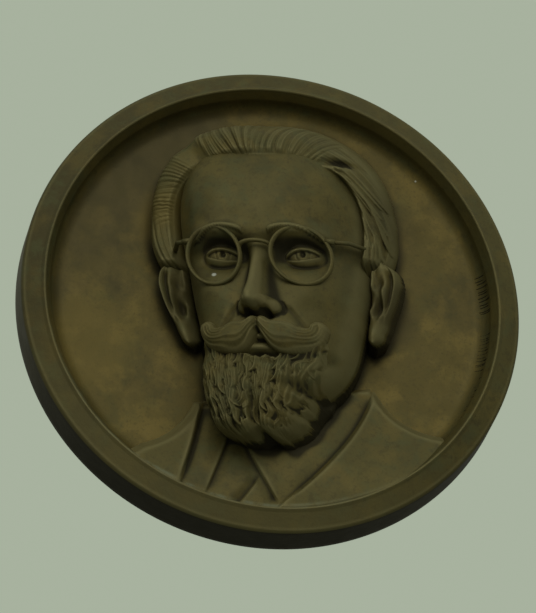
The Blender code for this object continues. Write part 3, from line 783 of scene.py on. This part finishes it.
def makeBronze():
    material = bpy.data.materials.new("bronzePatina")
    material.use_nodes = True
    tree = material.node_tree
    shader = tree.nodes["Principled BSDF"]
    start = Shade(tree, None)
    place = start.node("ShaderNodeTexCoord", output=3)
    x, y, z = (start.node("ShaderNodeSeparateXYZ", inputs={0: place}, output=i) for i in range(3))
    height = 0 - y
    hollow = start.node("ShaderNodeAttribute", {"attribute_name": "hollow"}, output=2)
    broad = place.noise(20, 4)
    warm = place.noise(31, 5, 0.6)
    patch = place.noise(70, 5, 0.65)
    fleck = place.noise(130, 6, 0.7)
    grain = place.noise(420, 3)
    # where on the plaque: each ramp starts and ends a little beside an edge of the disc
    reach = (x * x + z * z) ** 0.5
    isFront = height.ramp(0.003, 0.006)
    onField = (1 - reach.ramp(rimInner - 0.011, rimInner - 0.001)) * isFront
    onField = onField * (1 - height.ramp(disc["fieldHeight"] + 0.002, disc["fieldHeight"] + 0.0044))
    onWall = reach.band(rimInner - 0.007, rimInner - 0.002, rimInner + 0.0002, rimInner + 0.0012) * isFront
    onSeam = reach.band(rimInner - 0.0035, rimInner - 0.001, rimInner + 0.0002, rimInner + 0.0028) * isFront
    onRim = reach.ramp(rimInner - 0.001, rimInner + 0.002) * isFront
    chamfer, edge = disc["chamfer"], disc["edgeDepth"]
    onSide = height.band(chamfer - 0.0005, chamfer + 0.0005, edge - 0.0035, edge - 0.0005)
    onSide = onSide * reach.ramp(plaqueRadius - 0.0025, plaqueRadius - 0.0008)
    raised = (0.5 - hollow).ramp(0.02, 0.3)
    greenish = raised * 0.6 + (0.7 - onField * 0.4) * patch.ramp(0.45, 0.68)
    # painted shade on the field towards the upper left, under the rim
    upperLeftShade = (z * 0.7 - x * 0.8 + (broad - 0.5) * 0.14).ramp(0.10, 0.17)
    layers = [
        (onField * 0.9, "field"),
        # darker towards the left and top of the rim
        (onRim * (0.4 - x * 1.8 + z * 0.6), "stainAndShade"),
        (warm.ramp(0.46, 0.62) * (0.28 + onField * 0.42), "ochreAndLight"),
        (greenish * broad.ramp(0.3, 0.6), "green"),
        (broad.ramp(0.46, 0.74) * 0.75 * patch.ramp(0.2, 0.75), "stainAndShade"),
        (grain.ramp(0.5, 0.75) * 0.4, "stainAndShade"),
        ((1 - onField) * fleck.ramp(0.52, 0.66) * 0.5, "stainAndShade"),
        # painted light on the top of the rim's inner wall, which lies in shade
        (onWall * z.ramp(0.06, 0.17) * 0.25, "ochreAndLight"),
        # painted shade on the upper field
        (onField * upperLeftShade * 0.7, "stainAndShade"),
        # painted light: the lower rim, which faces slightly downwards, is made lighter
        (onRim * (0 - z - x * 0.35).ramp(0.06, 0.2) * 0.42, "rubbedAndLit"),
        # pale green patina and painted highlight along the lower left of the rim's inner edge
        (onSeam * (0 - z - x * 0.6).ramp(0.10, 0.19) * patch.ramp(0.35, 0.6) * 0.5, "bloomAndHighlight"),
        # the side of the disc, darker towards the bottom
        ((onSide * (0.7 - z * 3.4)).ramp(0, 1), "darkPatinaAndShade"),
        # lighter on raised edges: wear and painted highlight
        ((0.47 - hollow).ramp(0.0, 0.22) * (0.35 + patch * 0.5), "rubbedAndLit"),
        # darkest in dark patina and painted shade, after the attribute
        (hollow.ramp(0.53, 0.80) * 0.88, "darkPatinaAndShade"),
    ]
    for middle, size, share, tone in patina["patches"]:
        away = place.away(middle) + broad * 0.02 - 0.01
        layers.append(((1 - away.ramp(0.5 * size, size)) * share, tone))
    for middle, size in patina["dirtSpots"]:
        layers.append(((1 - place.away(middle).ramp(0.6 * size, 1.4 * size)) * 0.9, "dirt"))
    colour = start.node("ShaderNodeRGB")
    colour.socket.default_value = patina["body"]
    for share, tone in layers:
        colour = colour.blend(share, patina[tone])
    roughness = patina["roughness"] + patch * 0.22 + hollow.ramp(0.5, 0.8) * 0.15
    bump = start.node("ShaderNodeBump", inputs={
        "Strength": patina["bump"], "Distance": patina["bumpDistance"], "Height": grain + patch * 1.4})
    tree.links.new(colour.socket, shader.inputs["Base Color"])
    tree.links.new(roughness.socket, shader.inputs["Roughness"])
    tree.links.new(bump.socket, shader.inputs["Normal"])
    shader.inputs["Metallic"].default_value = patina["metallic"]
    shader.inputs["Specular Tint"].default_value = patina["specular"]
    print("mixed the bronze from", len(layers), "layers")
    return material


# Spectacles

spectacles = {"radius": 23.5, "apart": 36, "line": 119, "depth": 41, "wire": 1.7, "hinge": 0.83,
              "lean": math.radians(6), "wrap": math.radians(9), "hollow": 0.4}


def lensDepth(u, v):  # depth of the plane that each lens lies in
    return (spectacles["depth"] + math.tan(spectacles["lean"]) * (v - spectacles["line"])
            - math.tan(spectacles["wrap"]) * (abs(u) - spectacles["apart"]))


def wirePath(points, cyclic, thick=1):
    curve = bpy.data.curves.new("wirePath", "CURVE")
    curve.dimensions = "3D"
    curve.bevel_depth = thick * spectacles["wire"]
    curve.bevel_resolution = 4
    curve.use_fill_caps = not cyclic
    spline = curve.splines.new("POLY")
    spline.points.add(len(points) - 1)
    spline.use_cyclic_u = cyclic
    for point, (u, v, depth) in zip(spline.points, points):
        point.co = (u, -depth, v, 1)
    drawn = bpy.data.objects.new("wirePath", curve)
    bpy.context.scene.collection.objects.link(drawn)
    mesh = bpy.data.meshes.new_from_object(drawn.evaluated_get(bpy.context.evaluated_depsgraph_get()))
    bpy.data.objects.remove(drawn)
    return mesh


def makeSpectacles():
    radius, apart, line, depth = (spectacles[key] for key in ("radius", "apart", "line", "depth"))
    bm = bmesh.new()
    for side in (-1, 1):
        ring = []
        for a in np.linspace(0, math.tau, 72, endpoint=False):
            u = side * apart + radius * math.cos(a)
            v = line + radius * math.sin(a)
            ring.append((u, v, lensDepth(u, v)))
        hinge = apart + radius * spectacles["hinge"]
        back = depth - radius * spectacles["hinge"] * math.sin(spectacles["wrap"]) + 1
        stub = [(side * hinge, line + 13.5, back), (side * (hinge + 7), line + 13.2, back - 1.5)]
        arm = [(side * (hinge + 5), line + 13.2, back - 1), (side * 71, line + 15.5, back - 8),
               (side * 84, line + 17, 11)]
        bm.from_mesh(wirePath(ring, True))
        bm.from_mesh(wirePath(stub, False, 1.35))
        bm.from_mesh(wirePath(arm, False))
    reach = apart - radius + 1
    arch = [(reach * math.cos(a), line + 7 + 4 * math.sin(a), depth + 2 + 3 * math.sin(a))
            for a in np.linspace(0, math.pi, 13)]
    bm.from_mesh(wirePath(arch, False))
    bmesh.ops.remove_doubles(bm, verts=bm.verts, dist=0.001)
    bmesh.ops.transform(bm, matrix=headToPlaque() @ Matrix.Scale(part, 4), verts=bm.verts)
    layer = bm.verts.layers.float.new("hollow")
    for vert in bm.verts:
        vert[layer] = spectacles["hollow"]
    return addPiece("spectacles", bm)


# Worn marks low in the edge of the field on the right, rows of plain strokes

marks = {
    # directions of the first and last stroke in degrees, their count, their share of the full size
    "rows": ((9.5, -1.0, 12, 0.8), (-7.0, -17.5, 12, 0.8), (-20.0, -34.0, 12, 0.5)),
    "long": 0.0080, "half": 0.0006, "rise": 0.0004, "root": 0.0008, "inner": 0.1700, "hollow": 0.8,
}


def fieldLevel(r):  # height of the field and of the curve at its edge
    start = rimInner - disc["wallSlope"] - disc["cove"]
    inward = np.clip((r - start) / disc["cove"], 0, 1)
    return disc["fieldHeight"] + disc["cove"] * (1 - np.sqrt(1 - inward ** 2))


def makeMarks():
    bm = bmesh.new()
    layer = bm.verts.layers.float.new("hollow")
    draws = np.random.default_rng(31)
    for first, last, count, share in marks["rows"]:
        for degrees in np.linspace(first, last, count):
            before = len(bm.verts)
            fresh = bmesh.ops.create_cube(bm, size=1)["verts"]
            edges = {edge for vert in fresh for edge in vert.link_edges}
            bmesh.ops.subdivide_edges(bm, edges=list(edges), cuts=3, use_grid_fill=True)
            bm.verts.ensure_lookup_table()
            turn = math.radians(degrees + draws.uniform(-0.3, 0.3))
            lean = draws.uniform(-0.02, 0.12)
            long = marks["long"] * draws.uniform(0.7, 1.1)
            near = marks["inner"] + draws.uniform(0, 0.0012)
            for vert in bm.verts[before:]:
                a, out, b = vert.co.x, -vert.co.y * 2, vert.co.z
                width = 2 * marks["half"] * share * math.sqrt(max(1 - (1.7 * a) ** 2, 0.1))
                r = near + long * (a + 0.5)
                side = b * width + lean * a * long
                crown = marks["rise"] * share * (1 - 2.4 * b * b)
                high = float(fieldLevel(np.array(r))) + (crown if out > 0.9 else (out - 1) * marks["root"])
                vert.co = (r * math.cos(turn) - side * math.sin(turn), -high,
                           r * math.sin(turn) + side * math.cos(turn))
                vert[layer] = marks["hollow"]
    return addPiece("fieldMarks", bm)


bronze = makeBronze()
makeDisc()
makeMarks()
matrix = headToPlaque()
reliefMesh("faceRelief", face, faceForm, matrix)
reliefMesh("neck", neck, neckForm, matrix)
reliefMesh("ears", ear, earForm, matrix)
reliefMesh("hair", hair, hairForm, matrix)
# the beard carries painted shadow under the moustache
reliefMesh("beard", beard, beardForm, matrix, moustacheForm)
reliefMesh("moustache", moustache, moustacheForm, matrix)
reliefMesh("coat", coat, coatForm, Matrix())
makeSpectacles()

# Floor, light and camera

photo = {"azimuth": math.radians(-11.4), "elevation": math.radians(-24.7), "roll": math.radians(-2.9),
         "distance": 4.444, "lens": 328, "sensor": 36, "origin": (264.3, 317.5), "size": (536, 613)}
room = {
    "floor": (0.42, 0.46, 0.38, 1), "floorRoughness": 0.9, "floorHalf": 0.9, "floorHeight": -2.4,
    "shown": (0.39, 0.445, 0.345, 1), "glow": (0.92, 1.0, 0.93, 1), "above": 0.52, "below": 0.15,
    "lightPlace": (-0.05, -3.9, 1.75), "lightSize": 4.8, "lightPower": 15, "lightSpread": math.radians(60),
}


def makeFloor():
    bm = bmesh.new()
    bmesh.ops.create_grid(bm, x_segments=1, y_segments=1, size=room["floorHalf"])
    bmesh.ops.translate(bm, vec=(0, 0, room["floorHeight"]), verts=bm.verts)
    mesh = bpy.data.meshes.new("floor")
    bm.to_mesh(mesh)
    bm.free()
    floor = bpy.data.objects.new("floor", mesh)
    bpy.context.scene.collection.objects.link(floor)
    pale = bpy.data.materials.new("paleFloor")
    pale.use_nodes = True
    shader = pale.node_tree.nodes["Principled BSDF"]
    shader.inputs["Base Color"].default_value = room["floor"]
    shader.inputs["Roughness"].default_value = room["floorRoughness"]
    mesh.materials.append(pale)
    print("laid the floor")


def makeCamera():
    azimuth, elevation, roll = photo["azimuth"], photo["elevation"], photo["roll"]
    out = Vector((math.sin(azimuth) * math.cos(elevation), -math.cos(azimuth) * math.cos(elevation),
                  math.sin(elevation)))
    right = (-out).cross(Vector((0, 0, 1))).normalized()
    up = right.cross(-out)
    rolledRight = math.cos(roll) * right + math.sin(roll) * up
    rolledUp = math.cos(roll) * up - math.sin(roll) * right
    camera = bpy.data.objects.new("camera", bpy.data.cameras.new("camera"))
    camera.data.lens = photo["lens"]
    camera.data.sensor_width = photo["sensor"]
    wide, tall = photo["size"]
    pixel = photo["distance"] * photo["sensor"] / photo["lens"] / tall
    target = (-rolledRight * (photo["origin"][0] - wide / 2)
              + rolledUp * (photo["origin"][1] - tall / 2)) * pixel
    spin = Matrix((rolledRight, rolledUp, out)).transposed().to_4x4()
    camera.matrix_world = Matrix.Translation(target + out * photo["distance"]) @ spin
    bpy.context.scene.collection.objects.link(camera)
    bpy.context.scene.camera = camera
    print("set the camera")


def makeLight():
    data = bpy.data.lights.new("skyLight", "AREA")
    data.shape = "DISK"
    data.size = room["lightSize"]
    data.energy = room["lightPower"]
    data.spread = room["lightSpread"]
    light = bpy.data.objects.new("skyLight", data)
    light.location = room["lightPlace"]
    light.rotation_euler = (-Vector(room["lightPlace"])).to_track_quat("-Z", "Y").to_euler()
    bpy.context.scene.collection.objects.link(light)
    print("hung the light")


def makeWorld():  # pale to the camera; as a light, a soft sky above and a dim ground below
    world = bpy.data.worlds.new("paleRoom")
    world.use_nodes = True
    tree = world.node_tree
    shown = tree.nodes["Background"]
    shown.inputs["Color"].default_value = room["shown"]
    start = Shade(tree, None)
    facing = start.node("ShaderNodeTexCoord", output=0)
    height = start.node("ShaderNodeSeparateXYZ", inputs={0: facing}, output=2)
    strength = room["below"] + height.ramp(-0.15, 0.75) * (room["above"] - room["below"])
    glow = start.node("ShaderNodeBackground", inputs={"Color": room["glow"], "Strength": strength})
    seen = start.node("ShaderNodeLightPath")
    mix = start.node("ShaderNodeMixShader", inputs={0: seen, 1: glow, 2: Shade(tree, shown.outputs[0])})
    tree.links.new(mix.socket, tree.nodes["World Output"].inputs[0])
    bpy.context.scene.world = world
    print("lit the room")


makeFloor()
makeCamera()
makeWorld()
makeLight()
bpy.context.scene.view_settings.view_transform = "Standard"
